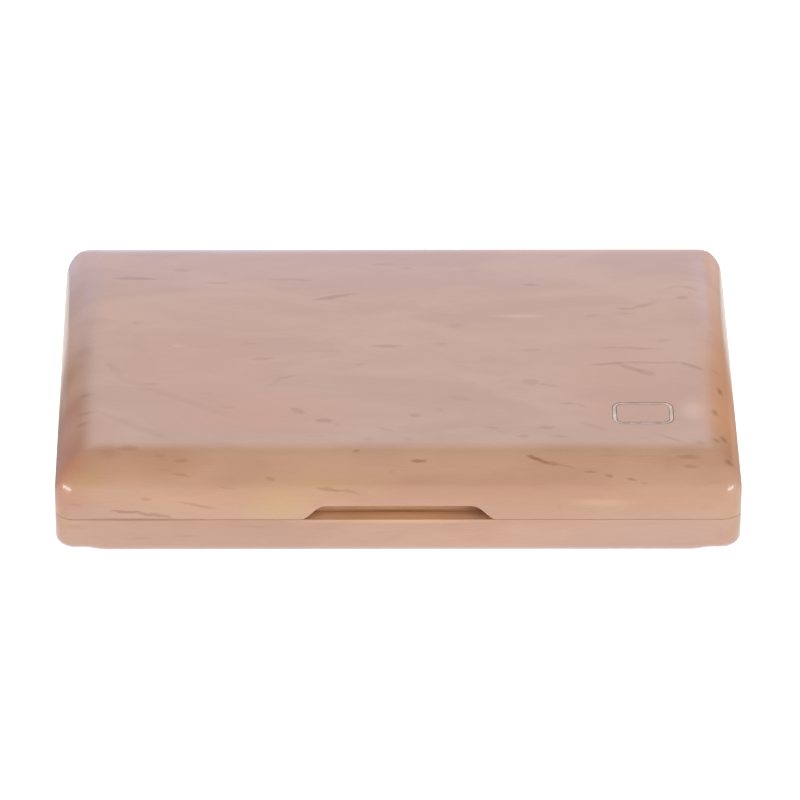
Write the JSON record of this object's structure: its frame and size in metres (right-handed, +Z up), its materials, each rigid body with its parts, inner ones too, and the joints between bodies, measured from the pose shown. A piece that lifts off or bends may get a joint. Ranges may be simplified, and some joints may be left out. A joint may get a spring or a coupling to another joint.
{
  "type": "reed guard",
  "caption": "Flat hinged wooden reed case with a wide rounded lid edge and a thumb notch; felt, glass plate, elastic bands and wooden dividers in both halves.",
  "frame": {"origin": "centre of the two shells' outline, on the plane of the underside that the case stands on", "axes": "+X along the hinge line, to the right seen from the front; -Y towards the front, with the thumb notch; +Z up, from the base to the lid"},
  "size_m": [0.12, 0.0841, 0.0184],
  "materials": {
    "case_wood": "pale close-grained wood under clear satin lacquer, with a faint cloudy figure and short dark flecks along the width",
    "divider_wood": "the same wood, sanded and oiled",
    "felt": "thin pressed felt",
    "elastic": "woven elastic ribbon",
    "glass": "clear float glass with ground edges",
    "brass": "polished",
    "magnet": "nickel plated"
  },
  "bodies": {
    "base": {"base_shell": "case_wood", "base_felt": "felt", "base_glass": "glass", "base_band_front": "elastic", "base_band_rear": "elastic", "base_divider_1": "divider_wood", "base_divider_2": "divider_wood", "base_divider_3": "divider_wood", "base_divider_4": "divider_wood", "base_divider_5": "divider_wood", "base_magnet_left": "magnet", "base_magnet_right": "magnet", "hinge_left_base_leaf": "brass", "hinge_left_pin": "brass", "hinge_left_base_screw_1": "brass", "hinge_left_base_screw_2": "brass", "hinge_right_base_leaf": "brass", "hinge_right_pin": "brass", "hinge_right_base_screw_1": "brass", "hinge_right_base_screw_2": "brass"},
    "lid": {"lid_shell": "case_wood", "lid_felt": "felt", "lid_glass": "glass", "lid_band_front": "elastic", "lid_band_rear": "elastic", "lid_divider_1": "divider_wood", "lid_divider_2": "divider_wood", "lid_divider_3": "divider_wood", "lid_divider_4": "divider_wood", "lid_divider_5": "divider_wood", "lid_magnet_left": "magnet", "lid_magnet_right": "magnet", "hinge_left_lid_leaf": "brass", "hinge_left_lid_screw_1": "brass", "hinge_left_lid_screw_2": "brass", "hinge_right_lid_leaf": "brass", "hinge_right_lid_screw_1": "brass", "hinge_right_lid_screw_2": "brass"}
  },
  "joints": [
    {"name": "lid_hinge", "type": "hinge", "parent": "base", "child": "lid", "pos_m": [0, 0.04145, 0.0069], "axis": [-1, 0, 0], "range_deg": [0, 145]}
  ]
}
